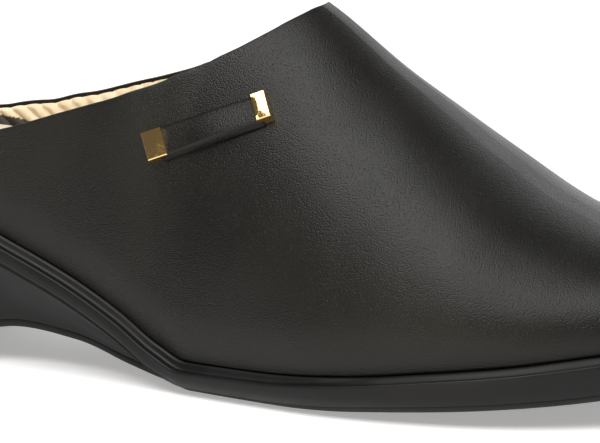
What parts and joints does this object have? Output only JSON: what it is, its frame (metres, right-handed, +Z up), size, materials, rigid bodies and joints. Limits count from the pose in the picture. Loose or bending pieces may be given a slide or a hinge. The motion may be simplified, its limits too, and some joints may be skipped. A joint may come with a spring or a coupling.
{
  "type": "wedge clog shoe",
  "caption": "Right shoe: a backless wedge clog with a closed toe, a high vamp, a low strip round the heel, a footbed and a short strap with metal end caps on the outer side.",
  "frame": {"origin": "on the floor under the middle of the sole's length and width", "axes": "+X towards the toe, +Y towards the medial (inner) side, +Z up"},
  "size_m": [0.256, 0.0936, 0.0917],
  "materials": {
    "upper_leather": "black smooth leather with a fine grain, soft sheen",
    "sole_black": "moulded black sole unit, satin",
    "outsole_rubber": "black rubber tread, matt",
    "insole_cream": "cream footbed cover, matt",
    "gold": "polished pale gold plating"
  },
  "bodies": {
    "root": {"upper": "upper_leather", "midsole": "sole_black", "outsole": "outsole_rubber", "insole": "insole_cream", "strap": "upper_leather", "cap_back": "gold", "cap_front": "gold"}
  },
  "joints": []
}
